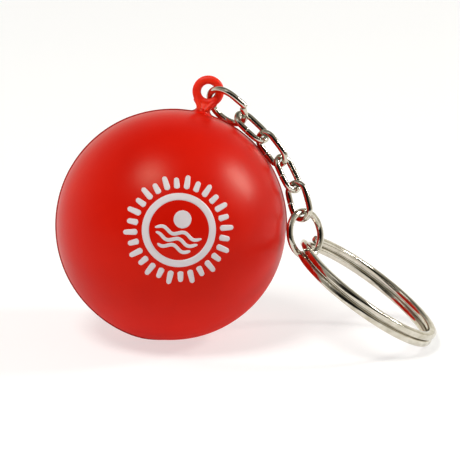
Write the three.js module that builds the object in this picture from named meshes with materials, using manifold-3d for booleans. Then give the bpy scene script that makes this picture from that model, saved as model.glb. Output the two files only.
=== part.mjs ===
// Stress ball key chain: a squeezable foam ball with a painted skin, a moulded eyelet set into its
// top, and a short link chain that drapes down its side to a two-turn split ring for keys.
// Millimetres, +Z up. The origin is the middle of the small flat that the ball sits on.

import * as THREE from 'three';
import { mergeVertices } from 'three/addons/utils/BufferGeometryUtils.js';
import Module from 'manifold-3d';

// ---------------------------------------------------------------- driving dimensions

const BALL_RADIUS = 20;
const FOOT_RADIUS = 3.5; // the flat that the ball sits on
const SKIN_THICKNESS = 0.6;
const MOULD_GAP = 0.25; // between the skin, the foam and the moulded eyelet

const LOOP_OUTER_RADIUS = 2.7;
const LOOP_BAND = 1.45; // thickness of the eyelet's round band
const LOOP_HEIGHT = 24; // from the ball's centre to the middle of the loop
const NECK_RADIUS = 1.6;
const NECK_TOP_RADIUS = 1.1; // where the neck runs into the band
const NECK_FLARE_RADIUS = 2.6; // where the neck meets the ball
const NECK_FLARE_RISE = 1.2;
const NECK_CLEARANCE = 0.1; // between the foot of the flare and the skin
const STEM_RADIUS = 1.5;
const ANCHOR_RADIUS = 4;
const ANCHOR_THICKNESS = 1.5;
const ANCHOR_DEPTH = 8; // from the ball's surface down to the underside of the anchor disc

const RING_WIRE = 1.2; // diameter of the two jump rings' wire
const LINK_WIRE = 1.1;
const LINK_LENGTH = 7.5;
const LINK_WIDTH = 4.35;
const BUTT_GAP = 0.12; // where the two ends of a bent wire meet
const WIRE_CLEARANCE = 0.15; // between the wires of two pieces that hang in each other

const KEY_RING_RADIUS = 14.2; // outside
const KEY_RING_BAND = 1.6; // the flattened wire, measured across the ring
const KEY_RING_TURN = 1.3; // the same wire, measured along the ring's axis
const KEY_RING_PITCH = 1.4; // from one turn to the next
const KEY_RING_CORNER = 0.35;
const KEY_RING_STEP = THREE.MathUtils.degToRad(36); // the arc in which the wire changes turns
const KEY_RING_STEP_AT = THREE.MathUtils.degToRad(168);
const KEY_RING_TIP_GAP = THREE.MathUtils.degToRad(3);
// Where the flat wire passes through the last jump ring, from that ring's centre: along the way it
// hangs, and to its side.
const KEY_RING_SEAT = new THREE.Vector3(2.25, -0.7, 0);

// The chain lies in one plane through the ball's centre. The plane leans back and is turned a
// little, so that the chain comes forward as it goes down.
const DRAPE_LEAN = THREE.MathUtils.degToRad(16.8);
const DRAPE_TURN = THREE.MathUtils.degToRad(-6.9);
const EYELET_ANGLE = THREE.MathUtils.degToRad(-13.7); // from straight up, in that plane

// From the eyelet to the split ring. Heading is each piece's own direction in the drape plane, in
// degrees from the plane's +X, and roll is how far its outer side is turned towards the front. The
// two jump rings are round and give their outside radius, and how far round from that direction
// their butt joint is. The rest are oval links.
const CHAIN = [
  { name: 'eyelet_ring', heading: -36.5, roll: 56, ringRadius: 4.3, butt: 47 },
  { name: 'chain_link_1', heading: -41.5, roll: -54 },
  { name: 'chain_link_2', heading: -51, roll: 38 },
  { name: 'chain_link_3', heading: -62, roll: -54 },
  { name: 'chain_link_4', heading: -73, roll: 24 },
  { name: 'end_ring', heading: -83, roll: -53, ringRadius: 4.5, butt: 180 },
];

const SKIN_SEGMENTS = 40;
const CORE_SEGMENTS = 28;
const STEM_SEGMENTS = 16;
const FLARE_STEPS = 4;
const BAND_SIDES = 10;
const BAND_STEPS = 28;
const WIRE_SIDES = 8;
const LOOP_STEPS = 32;
const KEY_RING_STEPS = 96;
const WELD_DISTANCE = 1e-4;

// ---------------------------------------------------------------- derived places

const BALL_HEIGHT = Math.sqrt(BALL_RADIUS ** 2 - FOOT_RADIUS ** 2);
const CORE_RADIUS = BALL_RADIUS - SKIN_THICKNESS - MOULD_GAP;
const BAND_RADIUS = LOOP_OUTER_RADIUS - LOOP_BAND / 2; // to the middle of the eyelet's band
const ANCHOR_FLOOR = BALL_RADIUS - ANCHOR_DEPTH;

// ---------------------------------------------------------------- materials

const finish = (color, roughness, metalness = 0) =>
  new THREE.MeshStandardMaterial({ color, roughness, metalness });

const RED_SKIN = finish(0xd8210f, 0.42);
const PALE_FOAM = finish(0xe8dcc0, 0.95);
const RED_PLASTIC = finish(0xe02c12, 0.35);
const NICKEL = finish(0xc9c4ba, 0.22, 1);

// ---------------------------------------------------------------- solids

const wasm = await Module();
wasm.setup();

function toManifold(geometry) {
  const bare = geometry.clone();
  bare.deleteAttribute('normal');
  bare.deleteAttribute('uv');
  const merged = mergeVertices(bare, WELD_DISTANCE);
  return new wasm.Manifold(new wasm.Mesh({
    numProp: 3,
    vertProperties: new Float32Array(merged.attributes.position.array),
    triVerts: new Uint32Array(merged.index.array),
  }));
}

function toGeometry(manifold) {
  const mesh = manifold.getMesh();
  const geometry = new THREE.BufferGeometry();
  geometry.setAttribute('position', new THREE.BufferAttribute(mesh.vertProperties, 3));
  geometry.setIndex(new THREE.BufferAttribute(mesh.triVerts, 1));
  geometry.computeVertexNormals();
  return geometry;
}

// Points on a circle about the lathe's axis, from one angle to another, measured from straight down.
function arc(radius, from, to, count) {
  return Array.from({ length: count + 1 }, (_, i) => {
    const angle = from + ((to - from) * i) / count;
    return new THREE.Vector2(Math.max(0, radius * Math.sin(angle)), -radius * Math.cos(angle));
  });
}

const at = (x, y) => new THREE.Vector2(x, y);

// A wire's centre line: two straight sides joined by half circles, open at the butt joint in the
// middle of one side. With no straight length it is a round ring.
class WireLoop extends THREE.Curve {
  constructor(bend, straight) {
    super();
    this.bend = bend;
    this.straight = straight;
    this.around = 2 * straight + 2 * Math.PI * bend;
  }

  getPoint(t, target = new THREE.Vector3()) {
    const half = this.straight / 2;
    const turn = Math.PI * this.bend;
    let along = BUTT_GAP / 2 + t * (this.around - BUTT_GAP);
    const side = along > half + turn + half ? -1 : 1;
    if (side < 0) along -= 2 * half + turn;
    if (along <= half) return target.set(side * along, side * -this.bend, 0);
    if (along >= half + turn) {
      return target.set(side * (half - (along - half - turn)), side * this.bend, 0);
    }
    const angle = (along - half) / this.bend - Math.PI / 2;
    const x = half + this.bend * Math.cos(angle);
    return target.set(side * x, side * this.bend * Math.sin(angle), 0);
  }
}

// The split ring's centre line: one turn, a short step up beside its own ends, and a second turn.
class TwoTurnCoil extends THREE.Curve {
  constructor(radius) {
    super();
    this.radius = radius;
    this.start = KEY_RING_STEP_AT + KEY_RING_STEP / 2 + KEY_RING_TIP_GAP;
    this.sweep = 4 * Math.PI - KEY_RING_STEP - 2 * KEY_RING_TIP_GAP;
  }

  getPoint(t, target = new THREE.Vector3()) {
    const angle = this.start + t * this.sweep;
    const stepped = (t - 0.5) * (this.sweep / KEY_RING_STEP) + 0.5;
    const height = (THREE.MathUtils.smoothstep(stepped, 0, 1) - 0.5) * KEY_RING_PITCH;
    return target.set(this.radius * Math.cos(angle), this.radius * Math.sin(angle), height);
  }

  // The flat wire's section stays square to the ring's axis all the way round.
  computeFrenetFrames(segments) {
    const frames = { tangents: [], normals: [], binormals: [] };
    for (let i = 0; i <= segments; i++) {
      const place = this.getPointAt(i / segments);
      const tangent = this.getTangentAt(i / segments);
      const normal = new THREE.Vector3(place.x, place.y, 0).normalize();
      frames.tangents.push(tangent);
      frames.normals.push(normal);
      frames.binormals.push(new THREE.Vector3().crossVectors(tangent, normal));
    }
    return frames;
  }
}

function sweep(outline, path, steps) {
  return new THREE.ExtrudeGeometry(new THREE.Shape(outline), {
    steps,
    extrudePath: path,
    bevelEnabled: false,
  });
}

function roundSection(radius) {
  return Array.from({ length: WIRE_SIDES }, (_, i) => {
    const angle = ((i + 0.5) / WIRE_SIDES) * 2 * Math.PI;
    return at(radius * Math.cos(angle), radius * Math.sin(angle));
  });
}

function chamferedSection(width, height, corner) {
  const [x, y] = [width / 2, height / 2];
  return [
    at(x, corner - y), at(x, y - corner), at(x - corner, y), at(corner - x, y),
    at(-x, y - corner), at(-x, corner - y), at(corner - x, -y), at(x - corner, -y),
  ];
}

function skinGeometry(turned) {
  const holeRadius = NECK_RADIUS + MOULD_GAP;
  const inner = BALL_RADIUS - SKIN_THICKNESS;
  const rings = SKIN_SEGMENTS / 2;
  const profile = [
    ...arc(BALL_RADIUS, 0, Math.PI - Math.asin(holeRadius / BALL_RADIUS), rings),
    ...arc(inner, Math.PI - Math.asin(holeRadius / inner), 0, rings),
  ];
  const shell = toManifold(new THREE.LatheGeometry(profile, SKIN_SEGMENTS).applyMatrix4(turned));
  const below = new THREE.BoxGeometry(2 * BALL_RADIUS, 2 * BALL_RADIUS, BALL_RADIUS);
  below.translate(0, 0, -BALL_HEIGHT - BALL_RADIUS / 2);
  return toGeometry(shell.subtract(toManifold(below)));
}

// The foam fills the skin, and is moulded round the eyelet's stem and anchor disc.
function coreGeometry(turned) {
  const shaft = STEM_RADIUS + MOULD_GAP;
  const disc = ANCHOR_RADIUS + MOULD_GAP;
  const discTop = ANCHOR_FLOOR + ANCHOR_THICKNESS + MOULD_GAP;
  const profile = [
    ...arc(CORE_RADIUS, 0, Math.PI - Math.asin(shaft / CORE_RADIUS), CORE_SEGMENTS / 2),
    at(shaft, discTop),
    at(disc, discTop),
    at(disc, ANCHOR_FLOOR - MOULD_GAP),
    at(0, ANCHOR_FLOOR - MOULD_GAP),
  ];
  return new THREE.LatheGeometry(profile, CORE_SEGMENTS).applyMatrix4(turned);
}

// Loop, neck, stem and anchor disc are one moulding, about the loop's own +Y.
function eyeletGeometry() {
  const neckTop = LOOP_HEIGHT - LOOP_OUTER_RADIUS + LOOP_BAND / 2;
  const flareFoot = BALL_RADIUS + NECK_CLEARANCE;
  const flare = Array.from({ length: FLARE_STEPS + 1 }, (_, i) => {
    const angle = (i / FLARE_STEPS) * (Math.PI / 2);
    return at(
      NECK_FLARE_RADIUS - (NECK_FLARE_RADIUS - NECK_RADIUS) * Math.sin(angle),
      flareFoot + NECK_FLARE_RISE * (1 - Math.cos(angle)),
    );
  });
  const profile = [
    at(0, ANCHOR_FLOOR),
    at(ANCHOR_RADIUS, ANCHOR_FLOOR),
    at(ANCHOR_RADIUS, ANCHOR_FLOOR + ANCHOR_THICKNESS),
    at(STEM_RADIUS, ANCHOR_FLOOR + ANCHOR_THICKNESS),
    at(STEM_RADIUS, flareFoot),
    ...flare,
    at(NECK_TOP_RADIUS, neckTop),
    at(0, neckTop),
  ];
  const stem = toManifold(new THREE.LatheGeometry(profile, STEM_SEGMENTS));
  const loop = new THREE.TorusGeometry(BAND_RADIUS, LOOP_BAND / 2, BAND_SIDES, BAND_STEPS);
  loop.translate(0, LOOP_HEIGHT, 0);
  return toGeometry(stem.add(toManifold(loop)));
}

function chainPiece(ringRadius, butt) {
  if (ringRadius) {
    const path = new WireLoop(ringRadius - RING_WIRE / 2, 0);
    const ring = sweep(roundSection(RING_WIRE / 2), path, LOOP_STEPS);
    return ring.rotateZ(THREE.MathUtils.degToRad(butt + 90));
  }
  const path = new WireLoop((LINK_WIDTH - LINK_WIRE) / 2, LINK_LENGTH - LINK_WIDTH);
  return sweep(roundSection(LINK_WIRE / 2), path, LOOP_STEPS);
}

function keyRingGeometry() {
  const section = chamferedSection(KEY_RING_BAND, KEY_RING_TURN, KEY_RING_CORNER);
  return sweep(section, new TwoTurnCoil(KEY_RING_RADIUS - KEY_RING_BAND / 2), KEY_RING_STEPS);
}

// ---------------------------------------------------------------- assembly

function piece(name, geometry, material) {
  const mesh = new THREE.Mesh(geometry, material);
  mesh.name = name;
  return mesh;
}

const group = new THREE.Group();

const drape = new THREE.Group();
drape.position.set(0, 0, BALL_HEIGHT);
drape.rotation.set(Math.PI / 2 - DRAPE_LEAN, 0, DRAPE_TURN, 'ZYX');
group.add(drape);

const eyelet = piece('eyelet', eyeletGeometry(), RED_PLASTIC);
eyelet.rotation.z = EYELET_ANGLE;
drape.add(eyelet);
group.updateMatrixWorld(true);

const turned = new THREE.Matrix4().extractRotation(eyelet.matrixWorld);
for (const [name, make, material] of [
  ['ball_skin', skinGeometry, RED_SKIN],
  ['foam_core', coreGeometry, PALE_FOAM],
]) {
  const shell = piece(name, make(turned), material);
  shell.position.z = BALL_HEIGHT;
  group.add(shell);
}

// Each piece hangs in the end of the one before: `hook` is the middle of the wire or band that it
// hangs on, and `hookRadius` is that wire's half thickness.
const hook = new THREE.Vector3(0, LOOP_HEIGHT, 0).applyEuler(eyelet.rotation);
let hookRadius = LOOP_BAND / 2;
let hookReach = BAND_RADIUS; // from the eyelet's middle out to its band
for (const { name, heading, roll, ringRadius, butt } of CHAIN) {
  const angle = THREE.MathUtils.degToRad(heading);
  const direction = new THREE.Vector3(Math.cos(angle), Math.sin(angle), 0);
  const wireRadius = (ringRadius ? RING_WIRE : LINK_WIRE) / 2;
  const halfLength = (ringRadius ?? LINK_LENGTH / 2) - wireRadius;
  hook.addScaledVector(direction, hookReach);
  const mesh = piece(name, chainPiece(ringRadius, butt), NICKEL);
  const drop = halfLength - hookRadius - wireRadius - WIRE_CLEARANCE;
  mesh.position.copy(hook).addScaledVector(direction, drop);
  mesh.rotation.set(THREE.MathUtils.degToRad(roll), 0, angle, 'ZYX');
  drape.add(mesh);
  hook.copy(mesh.position).addScaledVector(direction, halfLength);
  hookRadius = wireRadius;
  hookReach = 0;
}

// The split ring leans from the last jump ring down to the surface that the ball sits on.
group.updateMatrixWorld(true);
const seat = drape.getObjectByName('end_ring').localToWorld(KEY_RING_SEAT);
const seatToCentre = KEY_RING_RADIUS - KEY_RING_BAND / 2;
const reach = seatToCentre + KEY_RING_RADIUS - KEY_RING_CORNER;
const halfThickness = (KEY_RING_PITCH + KEY_RING_TURN) / 2;
const lean = Math.asin(seat.z / Math.hypot(reach, halfThickness)) - Math.atan(halfThickness / reach);
const keyRing = piece('split_ring', keyRingGeometry(), NICKEL);
keyRing.rotation.y = lean;
keyRing.position.copy(seat);
keyRing.translateX(seatToCentre);
group.add(keyRing);

export default group;
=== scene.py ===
"""Looks of the stress ball key chain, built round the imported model.

Lengths are written in millimetres and turned into metres when a mesh is made.
"""

import math

import bmesh
import bpy
from mathutils import Matrix, Vector, noise


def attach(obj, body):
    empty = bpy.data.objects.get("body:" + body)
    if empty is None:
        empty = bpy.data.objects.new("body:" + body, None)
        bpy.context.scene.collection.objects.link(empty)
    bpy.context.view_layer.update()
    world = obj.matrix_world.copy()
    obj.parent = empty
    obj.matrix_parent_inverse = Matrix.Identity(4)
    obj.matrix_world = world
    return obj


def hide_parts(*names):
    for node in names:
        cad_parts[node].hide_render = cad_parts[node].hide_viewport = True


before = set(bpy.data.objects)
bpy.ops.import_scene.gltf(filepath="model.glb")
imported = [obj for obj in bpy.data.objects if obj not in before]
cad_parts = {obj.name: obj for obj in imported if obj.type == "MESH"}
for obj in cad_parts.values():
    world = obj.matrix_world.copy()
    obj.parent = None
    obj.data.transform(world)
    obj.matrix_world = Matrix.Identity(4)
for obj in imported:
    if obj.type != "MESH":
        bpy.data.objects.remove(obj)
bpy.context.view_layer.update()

# ------------------------------------------------------------------ sizes

MM = 0.001

BALL_RADIUS = 19.83  # of the skin where it isn't raised
NOMINAL_RADIUS = 20.0  # over the raised parting line
FOOT_RADIUS = 3.5
BALL_HEIGHT = math.sqrt(NOMINAL_RADIUS**2 - FOOT_RADIUS**2)  # of its centre above the floor
SKIN_THICKNESS = 0.6

RIDGE_AT = math.radians(171.5)  # the mould's parting line: a longitude about the eyelet's axis
RIDGE_HEIGHT = 0.25
RIDGE_HALF_WIDTH = 0.24

LOOP_OUTER_RADIUS = 2.7
LOOP_BAND = 1.45
LOOP_HALF_THICKNESS = 0.78
LOOP_HEIGHT = 24.0  # of the loop's middle above the ball's centre

RING_WIRE = 1.2
LINK_WIRE = 1.1
LINK_LENGTH = 7.5
LINK_WIDTH = 4.35
WIRE_CLEARANCE = 0.15  # from each wire to the one it hangs on

KEY_RING_RADIUS = 14.2
KEY_RING_BAND = 1.6  # width of the wire, across the ring
KEY_RING_TURN = 1.3  # thickness of each turn
KEY_RING_PITCH = 1.4  # from one turn to the next
KEY_RING_CORNER = 0.35
KEY_RING_STEP = math.radians(36)  # over which the wire steps from one turn to the other
KEY_RING_STEP_AT = math.radians(168)
KEY_RING_TIP_GAP = math.radians(3)
KEY_RING_TIP = 0.5  # the length over which each end is rounded
TIP_ANGLES = [math.radians(15 * k) for k in range(7)]
KEY_RING_SEAT = Vector((2.25, -0.7, 0))  # where it hangs, from the last jump ring's middle

DRAPE_LEAN = math.radians(16.8)
DRAPE_TURN = math.radians(-6.9)
EYELET_ANGLE = math.radians(-13.7)

# Name, heading and roll in degrees, outside radius of a round ring (None for a link), where a
# ring's ends meet in degrees, and how far one of its ends has sprung out of line
CHAIN = [
    ("eyelet_ring", -36.5, 56, 4.3, 47, 0.40),
    ("chain_link_1", -41.5, -54, None, -90, 0.03),
    ("chain_link_2", -51, 38, None, -90, 0.02),
    ("chain_link_3", -62, -54, None, -90, 0.03),
    ("chain_link_4", -73, 24, None, -90, 0.02),
    ("end_ring", -83, -53, 4.5, 180, 0.0),
]

CENTRE = Vector((0, 0, BALL_HEIGHT))
DRAPE = (
    Matrix.Translation(CENTRE)
    @ Matrix.Rotation(DRAPE_TURN, 4, "Z")
    @ Matrix.Rotation(math.pi / 2 - DRAPE_LEAN, 4, "X")
)
EYELET = DRAPE @ Matrix.Rotation(EYELET_ANGLE, 4, "Z")
PARTING_NORMAL = EYELET.to_3x3() @ Vector((-math.sin(RIDGE_AT), 0, math.cos(RIDGE_AT)))

# ------------------------------------------------------------------ camera

CAMERA_ELEVATION = math.radians(15)
CAMERA_DISTANCE = 600.0
PICTURE = 460  # pixels along each side
PIXELS_PER_MM = 5.785  # at the ball's centre
BALL_IN_PICTURE = Vector((170.9, 225.1))  # its centre, in pixels from the top left
SENSOR = 36

FORWARD = Vector((0, math.cos(CAMERA_ELEVATION), -math.sin(CAMERA_ELEVATION)))
UPWARD = Vector((0, math.sin(CAMERA_ELEVATION), math.cos(CAMERA_ELEVATION)))
SIDEWAYS = Vector((1, 0, 0))

aside = (Vector((PICTURE / 2, PICTURE / 2)) - BALL_IN_PICTURE) / PIXELS_PER_MM
camera = bpy.data.objects.new("camera", bpy.data.cameras.new("camera"))
camera.data.sensor_width = SENSOR
camera.data.lens = SENSOR * CAMERA_DISTANCE * PIXELS_PER_MM / PICTURE
camera.data.clip_start = 0.01
camera.location = MM * (
    CENTRE - FORWARD * CAMERA_DISTANCE + SIDEWAYS * aside.x - UPWARD * aside.y
)
camera.rotation_euler = (math.pi / 2 - CAMERA_ELEVATION, 0, 0)
bpy.context.scene.collection.objects.link(camera)
bpy.context.scene.camera = camera
bpy.context.scene.view_settings.view_transform = "Standard"
bpy.context.scene.view_settings.look = "None"


# ------------------------------------------------------------------ materials


class Nodes:
    """A short way to write a node tree."""

    def __init__(self, tree):
        self.tree = tree
        tree.nodes.clear()

    def add(self, kind, inputs=None, **settings):
        node = self.tree.nodes.new("ShaderNode" + kind)
        for key, value in settings.items():
            setattr(node, key, value)
        for key, value in (inputs or {}).items():
            self.feed(node, key, value)
        return node

    def feed(self, node, key, value):
        socket = node.inputs[key]
        if isinstance(value, bpy.types.NodeSocket):
            self.tree.links.new(value, socket)
        else:
            socket.default_value = value

    def place(self):
        return self.add("TexCoord").outputs["Object"]

    def noise(self, scale, detail, rough):
        inputs = {"Vector": self.place(), "Scale": scale, "Detail": detail, "Roughness": rough}
        return self.add("TexNoise", inputs).outputs["Fac"]

    def cells(self, scale):
        inputs = {"Vector": self.place(), "Scale": scale}
        return self.add("TexVoronoi", inputs).outputs["Distance"]

    def dot(self, a, b):
        return self.add("VectorMath", {0: a, 1: b}, operation="DOT_PRODUCT").outputs["Value"]

    def axis(self, vector, name):
        return self.add("SeparateXYZ", {0: vector}).outputs[name]

    def span(self, value, low, high, to_low=0.0, to_high=1.0):
        """The value's run from low to high, turned into a run from to_low to to_high."""
        node = self.add(
            "MapRange",
            {
                "Value": value,
                "From Min": low,
                "From Max": high,
                "To Min": to_low,
                "To Max": to_high,
            },
        )
        return node.outputs["Result"]

    def math(self, operation, a, b=0.0):
        return self.add("Math", {0: a, 1: b}, operation=operation).outputs[0]

    def mix(self, factor, a, b):
        """Two colours mixed. A Mix node's colours are inputs 6 and 7, and its result output 2."""
        node = self.add("Mix", {0: factor}, data_type="RGBA")
        for key, colour in ((6, a), (7, b)):
            is_socket = isinstance(colour, bpy.types.NodeSocket)
            self.feed(node, key, colour if is_socket else (*colour, 1))
        return node.outputs[2]

    def bump(self, height, strength, distance, normal=None):
        inputs = {"Height": height, "Strength": strength, "Distance": distance}
        if normal is not None:
            inputs["Normal"] = normal
        return self.add("Bump", inputs).outputs["Normal"]


def material(name):
    """A new material, its node tree, and the surface node to feed."""
    made = bpy.data.materials.new(name)
    made.use_nodes = True
    nodes = Nodes(made.node_tree)
    surface = nodes.add("BsdfPrincipled")
    output = nodes.add("OutputMaterial")
    nodes.tree.links.new(surface.outputs[0], output.inputs["Surface"])
    return made, nodes, surface


def painted_skin():
    """Satin red paint over moulded foam, with painted shade along the mould's parting ridge, and
    scuffed underneath.
    """
    made, n, surface = material("painted_skin")
    cloud = n.noise(90, 4, 0.55)
    grain = n.noise(2600, 3, 0.6)
    peel = n.noise(620, 2, 0.5)
    pores = n.span(n.cells(520), 0.035, 0.10)
    specks = n.span(n.cells(80), 0.008, 0.016, 0.5, 0.0)
    # Painted shade: the paint is darkened in a thin band along the mould's parting ridge.
    across = n.dot(n.place(), tuple(PARTING_NORMAL))
    off = n.math("SUBTRACT", across, CENTRE.dot(PARTING_NORMAL) * MM)
    painted_seam_shade = n.span(n.math("ABSOLUTE", off), 0.00020, 0.00040, 0.75, 0.0)
    colour = n.mix(n.span(cloud, 0.3, 0.7), (0.585, 0.0052, 0.0010), (0.645, 0.0078, 0.0014))
    colour = n.mix(n.span(pores, 0, 1, 0.25, 0.0), colour, (0.42, 0.006, 0.002))
    colour = n.mix(specks, colour, (0.80, 0.42, 0.34))
    # painted shade on the parting ridge's flank
    colour = n.mix(painted_seam_shade, colour, (0.16, 0.003, 0.003))
    n.feed(surface, "Base Color", colour)
    scuffed = n.span(n.axis(n.place(), "Z"), 0.0008, 0.0150, 0.46, 0.0)
    satin = n.span(n.math("ADD", cloud, grain), 0.7, 1.3, 0.31, 0.37)
    n.feed(surface, "Roughness", n.math("ADD", satin, scuffed))
    n.feed(surface, "Specular IOR Level", 0.105)
    n.feed(surface, "Specular Tint", (1.0, 0.93, 0.66, 1))
    normal = n.bump(peel, 0.10, 0.00012)
    normal = n.bump(grain, 0.10, 0.00004, normal)
    normal = n.bump(pores, 0.12, 0.00004, normal)
    n.feed(surface, "Normal", normal)
    return made


def foam():
    """The ball's open-celled filling."""
    made, n, surface = material("cream_foam")
    cells = n.cells(900)
    colour = n.mix(n.span(cells, 0.1, 0.6), (0.55, 0.46, 0.30), (0.86, 0.79, 0.62))
    n.feed(surface, "Base Color", colour)
    n.feed(surface, "Roughness", 0.95)
    n.feed(surface, "Normal", n.bump(cells, 0.8, 0.0003))
    return made


def moulded_plastic():
    """The eyelet: soft, slightly see-through plastic with a grainy moulded face."""
    made, n, surface = material("moulded_plastic")
    grain = n.noise(1500, 4, 0.65)
    cloud = n.noise(350, 3, 0.5)
    colour = n.mix(n.span(cloud, 0.3, 0.7), (0.72, 0.012, 0.002), (0.90, 0.034, 0.004))
    n.feed(surface, "Base Color", colour)
    n.feed(surface, "Subsurface Weight", 0.35)
    n.feed(surface, "Subsurface Radius", (1.0, 0.18, 0.06))
    n.feed(surface, "Subsurface Scale", 0.0012)
    n.feed(surface, "Roughness", n.span(grain, 0.3, 0.7, 0.34, 0.56))
    n.feed(surface, "Specular IOR Level", 0.18)
    normal = n.bump(grain, 0.30, 0.00012)
    n.feed(surface, "Normal", n.bump(cloud, 0.20, 0.0003, normal))
    return made


def nickel():
    """Bright nickel plate with fine wear."""
    made, n, surface = material("nickel_plate")
    wear = n.noise(700, 5, 0.6)
    fine = n.noise(4200, 3, 0.6)
    dents = n.noise(260, 2, 0.5)
    colour = n.mix(n.span(wear, 0.35, 0.75), (0.70, 0.665, 0.58), (0.50, 0.46, 0.36))
    n.feed(surface, "Base Color", colour)
    n.feed(surface, "Metallic", 1.0)
    n.feed(surface, "Roughness", n.span(wear, 0.3, 0.8, 0.06, 0.19))
    normal = n.bump(dents, 0.12, 0.0004)
    n.feed(surface, "Normal", n.bump(fine, 0.05, 0.00005, normal))
    return made


def ink():
    """Screen-printed ink, very slightly worn."""
    made, n, surface = material("white_ink")
    wear = n.noise(1400, 5, 0.7)
    cloud = n.noise(160, 3, 0.5)
    colour = n.mix(n.span(cloud, 0.3, 0.7), (0.66, 0.60, 0.62), (0.74, 0.68, 0.71))
    colour = n.mix(n.span(wear, 0.66, 0.80, 0.0, 0.35), colour, (0.66, 0.10, 0.08))
    n.feed(surface, "Base Color", colour)
    n.feed(surface, "Roughness", n.span(wear, 0.3, 0.7, 0.42, 0.60))
    n.feed(surface, "Normal", n.bump(wear, 0.25, 0.00003))
    return made


def floor_material():
    """A pale sheet lit from within as well, so that shadows on it stay faint."""
    made, n, surface = material("pale_floor")
    colour = n.mix(n.noise(9, 3, 0.5), (0.44, 0.44, 0.44), (0.46, 0.46, 0.46))
    n.feed(surface, "Base Color", colour)
    n.feed(surface, "Roughness", 0.75)
    n.feed(surface, "Specular IOR Level", 0.1)
    n.feed(surface, "Emission Color", (1, 1, 1, 1))
    n.feed(surface, "Emission Strength", 0.60)
    return made


PAINT = painted_skin()
FOAM = foam()
PLASTIC = moulded_plastic()
NICKEL = nickel()
INK = ink()

# ------------------------------------------------------------------ mesh helpers


def smooth(data):
    data.polygons.foreach_set("use_smooth", [True] * len(data.polygons))


def finish(name, mesh, look, body):
    """Makes the piece from its mesh, with its material, body and slot."""
    bmesh.ops.recalc_face_normals(mesh, faces=mesh.faces)
    data = bpy.data.meshes.new(name)
    mesh.to_mesh(data)
    mesh.free()
    smooth(data)
    data.materials.append(look)
    piece = bpy.data.objects.new(name, data)
    bpy.context.scene.collection.objects.link(piece)
    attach(piece, body)
    return piece


def add_loops(mesh, rings):
    """Corners for rings of points in millimetres."""
    return [[mesh.verts.new(point * MM) for point in ring] for ring in rings]


def add_band(mesh, a, b):
    """Faces between two loops of corners."""
    count = len(a)
    for i in range(count):
        j = (i + 1) % count
        mesh.faces.new((a[i], a[j], b[j], b[i]))


def add_fan(mesh, loop):
    """Faces from a loop of corners to its middle."""
    count = len(loop)
    point = mesh.verts.new(sum((v.co for v in loop), Vector()) / count)
    for i in range(count):
        mesh.faces.new((loop[i], loop[(i + 1) % count], point))


def add_skin(mesh, rings, place=Matrix(), closed=False):
    """A surface over a run of rings of points, closed by a fan at each end."""
    loops = add_loops(mesh, [[place @ point for point in ring] for ring in rings])
    following = loops[1:] + (loops[:1] if closed else [])
    for a, b in zip(loops, following):
        add_band(mesh, a, b)
    if not closed:
        add_fan(mesh, loops[0])
        add_fan(mesh, loops[-1])


def super_oval(half_x, half_y, power, count):
    """Points round an oval that is squarer the higher its power."""
    points = []
    for i in range(count):
        angle = 2 * math.pi * (i + 0.5) / count
        c, s = math.cos(angle), math.sin(angle)
        x = math.copysign(abs(c) ** (2 / power), c) * half_x
        y = math.copysign(abs(s) ** (2 / power), s) * half_y
        points.append((x, y))
    return points


def swept(frames, section):
    """Rings of points: the section carried through frames of (place, outward, along, scale)."""
    return [
        [at + outward * (x * scale) + along * (y * scale) for x, y in section]
        for at, outward, along, scale in frames
    ]


# ------------------------------------------------------------------ chain

END_GAP = 0.04  # between the two ends of a wire
WIRE_EASE = 0.02  # taken off a wire's radius, so that it never touches its neighbour
LINK_BELLY = 0.05  # how much wider a link's middle is than nominal, as a share of its width
LINK_TAPER = 0.13  # how much of that share is lost again towards its bends
WIRE_SIDES = 20
WIRE_STEPS = 120
WOBBLE = 0.02  # how far a wire strays from its line
WOBBLE_PACE = 0.9
SPRING_REACH = 1.1  # how far along the wire its sprung end bends back


def loop_frame(bend, straight, along):
    """Place and outward direction on a link's centre line, from the middle of its lower side."""
    half, turn = straight / 2, math.pi * bend
    side = 1
    if along > 2 * half + turn:
        side, along = -1, along - 2 * half - turn
    if along <= half:
        return Vector((side * along, -side * bend, 0)), Vector((0, -side, 0))
    if along >= half + turn:
        return Vector((side * (turn + 2 * half - along), side * bend, 0)), Vector((0, side, 0))
    angle = (along - half) / bend - math.pi / 2
    outward = Vector((side * math.cos(angle), side * math.sin(angle), 0))
    return Vector((side * half, 0, 0)) + outward * bend, outward


def wire_rings(wire, bend, straight, spring, seed):
    """A bent wire, with its first end sprung out a little where the two ends meet."""
    length = 2 * straight + 2 * math.pi * bend - END_GAP
    radius = wire / 2 - WIRE_EASE
    section = super_oval(radius, radius, 2, WIRE_SIDES)
    edge = 0.04 + 0.5 * spring  # the length over which an end is rounded
    ends = [(0.0, 0.86), (0.3 * edge, 0.95), (edge, 1.0)]
    inner = [
        (edge + (length - 2 * edge) * i / WIRE_STEPS, 1.0) for i in range(1, WIRE_STEPS)
    ]
    stations = ends + inner + [(length - d, scale) for d, scale in reversed(ends)]
    half_length = straight / 2 + bend
    frames = []
    for along, scale in stations:
        at, outward = loop_frame(bend, straight, END_GAP / 2 + along)
        if straight:
            at.y *= 1 + LINK_BELLY - LINK_TAPER * (at.x / half_length) ** 2
        wobble = noise.noise(Vector((along * WOBBLE_PACE, seed, 0)))
        sprung = spring * math.exp(-((along / SPRING_REACH) ** 2))
        at = at + outward * sprung + Vector((0, 0, WOBBLE * wobble - 0.5 * sprung))
        frames.append((at, outward, Vector((0, 0, 1)), scale * (1 + 0.012 * wobble)))
    return swept(frames, section)


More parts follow.
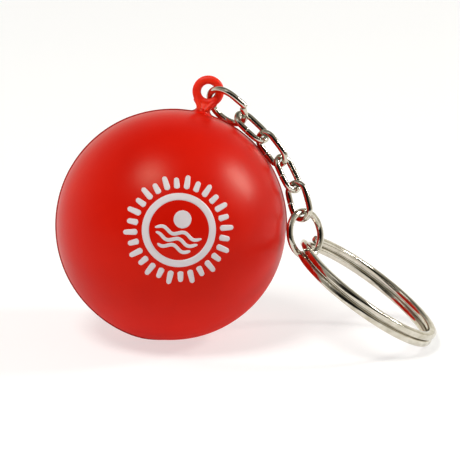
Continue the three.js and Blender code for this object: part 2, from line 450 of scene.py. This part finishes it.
def chain_places():
    """Where each piece hangs, from the eyelet down, with the turn that puts its ends in place."""
    hook = Matrix.Rotation(EYELET_ANGLE, 4, "Z") @ Vector((0, LOOP_HEIGHT, 0))
    hook_radius, reach = LOOP_BAND / 2, LOOP_OUTER_RADIUS - LOOP_BAND / 2
    for name, heading, roll, ring_radius, ends_at, spring in CHAIN:
        heading = math.radians(heading)
        way = Vector((math.cos(heading), math.sin(heading), 0))
        wire_radius = (RING_WIRE if ring_radius else LINK_WIRE) / 2
        half = (ring_radius or LINK_LENGTH / 2) - wire_radius
        hook = hook + way * reach
        centre = hook + way * (half - hook_radius - wire_radius - WIRE_CLEARANCE)
        place = (
            DRAPE
            @ Matrix.Translation(centre)
            @ Matrix.Rotation(heading, 4, "Z")
            @ Matrix.Rotation(math.radians(roll), 4, "X")
        )
        yield name, place, ring_radius, math.radians(ends_at + 90), spring
        hook, hook_radius, reach = centre + way * half, wire_radius, 0


def chain():
    """Every ring and link, each on its own body; returns the last one's place."""
    for number, (name, place, ring_radius, turn, spring) in enumerate(chain_places()):
        mesh = bmesh.new()
        if ring_radius:
            rings = wire_rings(RING_WIRE, ring_radius - RING_WIRE / 2, 0, spring, number)
            add_skin(mesh, rings, place @ Matrix.Rotation(turn, 4, "Z"))
        else:
            bend = (LINK_WIDTH - LINK_WIRE) / 2
            rings = wire_rings(LINK_WIRE, bend, LINK_LENGTH - LINK_WIDTH, spring, number)
            add_skin(mesh, rings, place)
        piece = finish(name + "_wire", mesh, NICKEL, name)
        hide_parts(name)
    return place


# ------------------------------------------------------------------ split ring

COIL_STEPS = 300


def coil_frames():
    """The flat wire's centre line: a turn, the step up beside its own ends, and a second turn."""
    radius = KEY_RING_RADIUS - KEY_RING_BAND / 2
    start = KEY_RING_STEP_AT + KEY_RING_STEP / 2 + KEY_RING_TIP_GAP
    sweep = 4 * math.pi - KEY_RING_STEP - 2 * KEY_RING_TIP_GAP

    def at(t):
        angle = start + t * sweep
        stepped = min(1, max(0, (t - 0.5) * (sweep / KEY_RING_STEP) + 0.5))
        height = (stepped * stepped * (3 - 2 * stepped) - 0.5) * KEY_RING_PITCH
        return Vector((radius * math.cos(angle), radius * math.sin(angle), height))

    tip = KEY_RING_TIP / (radius * sweep)
    ends = [(tip * (1 - math.cos(a)), max(0.3, math.sin(a))) for a in TIP_ANGLES]
    inner = [(tip + (1 - 2 * tip) * i / COIL_STEPS, 1.0) for i in range(1, COIL_STEPS)]
    for t, scale in ends + inner + [(1 - t, scale) for t, scale in reversed(ends)]:
        place = at(t)
        outward = Vector((place.x, place.y, 0)).normalized()
        tangent = (at(t + 1e-4) - at(t - 1e-4)).normalized()
        yield place, outward, tangent.cross(outward), scale


def split_ring(last_ring):
    """The coil, leaning from the last jump ring until its far side lies on the floor."""
    seat = last_ring @ KEY_RING_SEAT
    to_centre = KEY_RING_RADIUS - KEY_RING_BAND / 2
    reach = to_centre + KEY_RING_RADIUS - KEY_RING_CORNER
    half = (KEY_RING_PITCH + KEY_RING_TURN) / 2
    lean = math.asin(seat.z / math.hypot(reach, half)) - math.atan(half / reach)
    place = (
        Matrix.Translation(seat)
        @ Matrix.Rotation(lean, 4, "Y")
        @ Matrix.Translation((to_centre, 0, 0))
    )
    mesh = bmesh.new()
    section = super_oval(KEY_RING_BAND / 2, KEY_RING_TURN / 2, 2.9, 28)
    add_skin(mesh, swept(coil_frames(), section), place)
    piece = finish("split_ring_coil", mesh, NICKEL, "split_ring")
    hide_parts("split_ring")


split_ring(chain())

# ------------------------------------------------------------------ eyelet

NECK_PROFILE = [  # height from the ball's centre, half width, half thickness
    (19.6, 1.20, 1.20),
    (20.30, 1.20, 1.18),
    (20.75, 1.20, 1.10),
    (21.05, 1.27, 1.00),
    (21.35, 1.50, 0.88),
    (21.65, 1.84, 0.78),
    (21.95, 2.08, 0.70),
    (22.25, 2.10, 0.58),
]
RIB_RADIUS = 0.46
RIB_LOW = Vector((0.42, 20.5, 0.72))  # the ribs' ends, on one side and one face
RIB_HIGH = Vector((1.62, 22.5, 0.36))
FULLNESS = 0.03  # added all round for what smoothing takes off
LOOP_STEPS = 96


def add_bar(mesh, start, end, radius):
    """A round bar from one point to another."""
    along = (end - start).normalized()
    across = along.orthogonal().normalized()
    frames = [(start.lerp(end, k / 8), across, along.cross(across), 1.0) for k in range(9)]
    add_skin(mesh, swept(frames, super_oval(radius, radius, 2, 16)))


def metres(matrix):
    """The same placement with its offset in metres."""
    rotation = matrix.to_3x3().to_4x4()
    return Matrix.Translation(matrix.to_translation() * MM) @ rotation


def apply_modifiers(piece):
    shaped = piece.evaluated_get(bpy.context.evaluated_depsgraph_get())
    data = bpy.data.meshes.new_from_object(shaped)
    piece.modifiers.clear()
    piece.data = data
    smooth(data)


def eyelet():
    """Loop, neck and its Y-shaped ribs are joined by a fine remesh that rounds their corners."""
    mesh = bmesh.new()
    middle = LOOP_OUTER_RADIUS + FULLNESS - LOOP_BAND / 2
    section = super_oval(LOOP_BAND / 2 + FULLNESS, LOOP_HALF_THICKNESS, 2.6, 28)
    centre = Vector((0, LOOP_HEIGHT, 0))
    frames = []
    for i in range(LOOP_STEPS):
        angle = 2 * math.pi * i / LOOP_STEPS
        outward = Vector((math.cos(angle), math.sin(angle), 0))
        frames.append((centre + outward * middle, outward, Vector((0, 0, 1)), 1.0))
    add_skin(mesh, swept(frames, section), closed=True)

    neck = []
    for height, half_width, half_thickness in NECK_PROFILE:
        outline = super_oval(half_width + FULLNESS, half_thickness + FULLNESS, 2.2, 40)
        neck.append([Vector((x, height, z)) for x, z in outline])
    add_skin(mesh, neck)
    for side in (-1, 1):
        for face in (-1, 1):
            mirror = Vector((side, 1, face))
            add_bar(mesh, RIB_LOW * mirror, RIB_HIGH * mirror, RIB_RADIUS)

    piece = finish("eyelet_moulding", mesh, PLASTIC, "ball")
    blend = piece.modifiers.new("blend", "REMESH")
    blend.mode = "VOXEL"
    blend.voxel_size = 0.07 * MM
    blend.use_smooth_shade = True
    soften = piece.modifiers.new("soften", "SMOOTH")
    soften.factor = 0.5
    soften.iterations = 8
    apply_modifiers(piece)
    piece.data.transform(metres(EYELET))
    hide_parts("eyelet")


eyelet()

# ------------------------------------------------------------------ ball

COLLAR = 0.9  # how far the skin rises round the eyelet's neck
COLLAR_STEPS = 9
NECK_HOLE = 1.16  # radius
FOOT_EDGE = 0.04  # softness of the edge of the flat that the ball stands on
OUTSIDE_STEPS = 130
INSIDE_STEPS = 60
POLE_ANGLE = math.pi - 0.008  # where the skin's last ring is, opposite the eyelet
# Slight fullness or flatness of the soft ball: direction in the room, height and spread
SWELLS = [
    (Vector((0.60, 0.10, 0.79)), 0.22, math.radians(30)),
    (Vector((-1.0, -0.05, 0.05)), -0.09, math.radians(40)),
    (Vector((-0.27, -0.25, -0.93)), 0.14, math.radians(17)),
    (Vector((0.95, 0.05, -0.30)), 0.06, math.radians(45)),
]


def ball():
    """The skin, as rings about the eyelet's axis: outside, then inside, joined at the collar."""
    longitudes = parting_longitudes()
    outside = []
    for k in range(COLLAR_STEPS + 1):
        turn = math.pi / 2 * k / COLLAR_STEPS
        distance = NECK_HOLE + COLLAR * (1 - math.cos(turn))
        rise = COLLAR * (1 - math.sin(turn))
        angle = math.asin(distance / BALL_RADIUS)
        outside.append([ball_point(angle, b, rise) for b in longitudes])
    first = math.asin((NECK_HOLE + COLLAR) / BALL_RADIUS)
    for i in range(1, OUTSIDE_STEPS + 1):
        angle = first + (POLE_ANGLE - first) * i / OUTSIDE_STEPS
        outside.append([ball_point(angle, b, 0) for b in longitudes])
    brim = math.asin(NECK_HOLE / (BALL_RADIUS - SKIN_THICKNESS))
    inside = []
    for i in range(INSIDE_STEPS + 1):
        angle = POLE_ANGLE + (brim - POLE_ANGLE) * i / INSIDE_STEPS
        inside.append([inner_point(angle, b) for b in longitudes])
    mesh = bmesh.new()
    add_shell(mesh, outside, inside)
    piece = finish("ball_painted_skin", mesh, PAINT, "ball")
    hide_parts("ball_skin")


def parting_longitudes():
    """Close together at the parting line and even between."""
    close = [0, 0.004, 0.008, 0.012, 0.017, 0.024, 0.036]
    edge = close[-1]
    turns = []
    for side in (RIDGE_AT, RIDGE_AT + math.pi):
        turns += [side + d for d in close] + [side - d for d in close[1:]]
        turns += [side + edge + (math.pi - 2 * edge) * i / 100 for i in range(1, 100)]
    return sorted(t % (2 * math.pi) for t in turns)


def settle(point):
    """World place of a point in the eyelet's frame, flattened where the ball stands."""
    world = EYELET @ point
    if world.z < 1:
        world.z = 0.5 * (world.z + math.sqrt(world.z**2 + FOOT_EDGE**2))
    return world


def ball_way(angle, longitude):
    """A direction in the eyelet's frame, by its angle from the eyelet and its longitude."""
    ring = math.sin(angle)
    return Vector((ring * math.cos(longitude), math.cos(angle), ring * math.sin(longitude)))


def surface_radius(way):
    """Distance from the centre to the skin, in a direction given in the eyelet's frame."""
    in_room = EYELET.to_3x3() @ way
    off = BALL_RADIUS * in_room.dot(PARTING_NORMAL)
    left = 0.5 - 5 * (in_room.x + 0.15)
    upper = 0.5 + 12 * (in_room.z + 0.04)
    kept = min(1.0, max(0.0, left, upper))  # so that it fades out low on the chain's side
    ridge = RIDGE_HEIGHT * kept * math.exp(-((off / RIDGE_HALF_WIDTH) ** 2))
    lump = 0.03 * noise.noise(way * 2.1) + 0.01 * noise.noise(way * 6.3)
    swell = sum(
        full * math.exp(-((in_room.angle(towards) / spread) ** 2))
        for towards, full, spread in SWELLS
    )
    return BALL_RADIUS + ridge + lump + swell


def ball_point(angle, longitude, rise):
    way = ball_way(angle, longitude)
    return settle(way * surface_radius(way) + Vector((0, rise, 0)))


def inner_point(angle, longitude):
    world = EYELET @ (ball_way(angle, longitude) * (BALL_RADIUS - SKIN_THICKNESS))
    world.z = max(world.z, SKIN_THICKNESS)
    return world


def add_shell(mesh, outside, inside):
    """Two skins joined at the collar and closed at the far pole, each by its own fan."""
    loops = add_loops(mesh, outside + inside)
    far = len(outside) - 1
    for k, (a, b) in enumerate(zip(loops, loops[1:] + loops[:1])):
        if k != far:
            add_band(mesh, a, b)
    add_fan(mesh, loops[far])
    add_fan(mesh, loops[far + 1])


ball()

# ------------------------------------------------------------------ printed emblem

EMBLEM_OFF = Vector((1.74, -0.9))  # from the middle of the ball as the camera sees it
EMBLEM_TILT = math.radians(-17)
INK_RISE = 0.015  # of the ink's face above the skin
INK_ROOT = -0.09  # its back, inside the skin

EMBLEM_RING_RADIUS = 5.63
EMBLEM_RING_HALF_WIDTH = 0.59
RAYS = 28
RAY_START = 6.93
RAY_LENGTHS = (1.85, 2.35)  # by turns
RAY_HALF_WIDTH = 0.53
RAY_TAPER = 0.22
WAVE_HEIGHTS = (-0.5, -1.75, -3.0)
WAVE_ROOM = 4.3  # radius that the waves reach out to
WAVE_SWING = 0.36
WAVE_HALF_WIDTH = 0.30
SUN_HEIGHT = 1.9
SUN_RADIUS = 1.5


def emblem_frame():
    """The print's right, up and outward directions in the room."""
    out = Vector((EMBLEM_OFF.x, EMBLEM_OFF.y, 0)) / BALL_RADIUS
    depth = math.sqrt(1 - out.length_squared)
    normal = SIDEWAYS * out.x + UPWARD * out.y - FORWARD * depth
    right = (SIDEWAYS - normal * normal.x).normalized()
    up = normal.cross(right)
    turn = Matrix.Rotation(EMBLEM_TILT, 3, normal)
    return turn @ right, turn @ up, normal


PRINT_RIGHT, PRINT_UP, PRINT_OUT = emblem_frame()


def on_ball(x, y, height):
    """A point of the flat drawing, laid on the ball."""
    depth = math.sqrt(BALL_RADIUS**2 - x * x - y * y)
    way = (PRINT_RIGHT * x + PRINT_UP * y + PRINT_OUT * depth).normalized()
    return CENTRE + way * (surface_radius(EYELET.to_3x3().transposed() @ way) + height)


def add_strip(mesh, middle, half_width, closed=False, across=5):
    """A printed line: points along its middle, and its half width at each."""
    count = len(middle)
    rings = []
    for i, point in enumerate(middle):
        before = middle[i - 1] if closed or i else point
        after = middle[(i + 1) % count] if closed or i < count - 1 else point
        along = (after - before).normalized()
        side = Vector((-along.y, along.x))
        half = half_width[i] if isinstance(half_width, list) else half_width
        shares = [2 * k / (across - 1) - 1 for k in range(across)]
        top = [on_ball(*(point + side * (half * s)), INK_RISE) for s in shares]
        low = [on_ball(*(point + side * (half * s)), INK_ROOT) for s in reversed(shares)]
        rings.append(top + low)
    add_skin(mesh, rings, closed=closed)


def shares_of(count):
    return [k / count for k in range(count + 1)]


def finish_print(name, mesh):
    finish(name, mesh, INK, "ball")


def emblem():
    """A sun over water in a ring, with rays round it."""
    ring = bmesh.new()
    circle = []
    for i in range(180):
        angle = 2 * math.pi * i / 180
        circle.append(
            Vector((EMBLEM_RING_RADIUS * math.cos(angle), EMBLEM_RING_RADIUS * math.sin(angle)))
        )
    add_strip(ring, circle, EMBLEM_RING_HALF_WIDTH, closed=True)
    finish_print("emblem_ring", ring)

    rays = bmesh.new()
    shares = shares_of(14)
    for i in range(RAYS):
        angle = 2 * math.pi * (i + 0.5) / RAYS
        way = Vector((math.cos(angle), math.sin(angle)))
        middle = [way * (RAY_START + RAY_LENGTHS[i % 2] * s) for s in shares]
        width = [
            RAY_HALF_WIDTH * (1 - RAY_TAPER * s) * max(0.05, 1 - abs(2 * s - 1) ** 7) ** 0.5
            for s in shares
        ]
        add_strip(rays, middle, width)
    finish_print("emblem_rays", rays)

    waves = bmesh.new()
    shares = shares_of(48)
    for row, height in enumerate(WAVE_HEIGHTS):
        reach = math.sqrt(WAVE_ROOM**2 - height * height) - 0.25
        middle = []
        for s in shares:
            x = reach * (2 * s - 1)
            middle.append(Vector((x, height + WAVE_SWING * math.sin(3.4 * x / 2 + row))))
        width = [WAVE_HALF_WIDTH * max(0.08, 1 - abs(2 * s - 1) ** 10) ** 0.5 for s in shares]
        add_strip(waves, middle, width)
    finish_print("emblem_waves", waves)

    sun = bmesh.new()
    shares = shares_of(24)
    middle = [Vector((0, SUN_HEIGHT + SUN_RADIUS * (2 * s - 1))) for s in shares]
    width = [SUN_RADIUS * max(0.04, 1 - (2 * s - 1) ** 2) ** 0.5 for s in shares]
    add_strip(sun, middle, width, across=9)
    finish_print("emblem_sun", sun)


emblem()

# ------------------------------------------------------------------ foam

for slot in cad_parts["foam_core"].material_slots:
    slot.material = FOAM

# ------------------------------------------------------------------ floor and light

FLOOR_HALF_SIZE = 6  # metres
FLOOR_DROP = 0.00003  # keeps it clear of the ball's flat
ROOM_FRONT = 0.38  # brightness of the room in front of the ball
LAMP_DISTANCE = 0.8  # metres
TOP = (-0.290, -0.370, 0.880)  # directions of the lamps
RIGHT = (0.837, 0.119, 0.530)

floor_mesh = bmesh.new()
bmesh.ops.create_grid(floor_mesh, x_segments=1, y_segments=1, size=FLOOR_HALF_SIZE)
floor_data = bpy.data.meshes.new("floor")
floor_mesh.to_mesh(floor_data)
floor_mesh.free()
floor_data.materials.append(floor_material())
floor = bpy.data.objects.new("floor", floor_data)
floor.location.z = -FLOOR_DROP
bpy.context.scene.collection.objects.link(floor)

world = bpy.data.worlds.new("studio")
bpy.context.scene.world = world
world.use_nodes = True
w = Nodes(world.node_tree)
direction = w.add("TexCoord").outputs["Generated"]
darker_up = w.span(w.axis(direction, "Z"), 0.15, 0.85, 1.0, 0.12)
darker_right = w.span(w.axis(direction, "X"), -0.2, 0.7, 1.0, 0.74)
backdrop = w.math("MULTIPLY", darker_up, darker_right)
behind = w.span(w.axis(direction, "Y"), -0.25, 0.25)
over_front = w.math("SUBTRACT", backdrop, ROOM_FRONT)
room = w.math("ADD", w.math("MULTIPLY", behind, over_front), ROOM_FRONT)
dark_doorway = w.span(w.dot(direction, tuple(-FORWARD)), 0.52, 0.80, 1.0, 0.02)
room = w.math("MULTIPLY", room, dark_doorway)
light = w.add("Background", {"Color": (1, 0.96, 0.84, 1)})
w.feed(light, "Strength", room)
out = w.add("OutputWorld")
w.tree.links.new(light.outputs[0], out.inputs["Surface"])


def soft_box(name, way, size, watts, colour, seen_by):
    """A lamp turned to the ball; its light and its reflection can come from separate lamps."""
    data = bpy.data.lights.new(name, "AREA")
    data.shape = "ELLIPSE"
    data.size, data.size_y = size
    data.energy = watts
    data.color = colour
    lamp = bpy.data.objects.new(name, data)
    way = Vector(way).normalized()
    lamp.location = CENTRE * MM + way * LAMP_DISTANCE
    lamp.rotation_euler = (-way).to_track_quat("-Z", "Y").to_euler()
    lamp.visible_diffuse = "diffuse" in seen_by
    lamp.visible_glossy = "gloss" in seen_by
    bpy.context.scene.collection.objects.link(lamp)


soft_box("top_light", TOP, (0.30, 0.30), 4.3, (1, 0.985, 0.95), ("diffuse",))
soft_box("top_gloss", TOP, (0.30, 0.30), 5.2, (1, 0.985, 1), ("gloss",))
soft_box("right_light", RIGHT, (0.18, 0.18), 2.7, (1, 0.985, 0.93), ("diffuse",))
soft_box("right_gloss", RIGHT, (0.20, 0.36), 6.7, (1, 0.985, 1), ("gloss",))
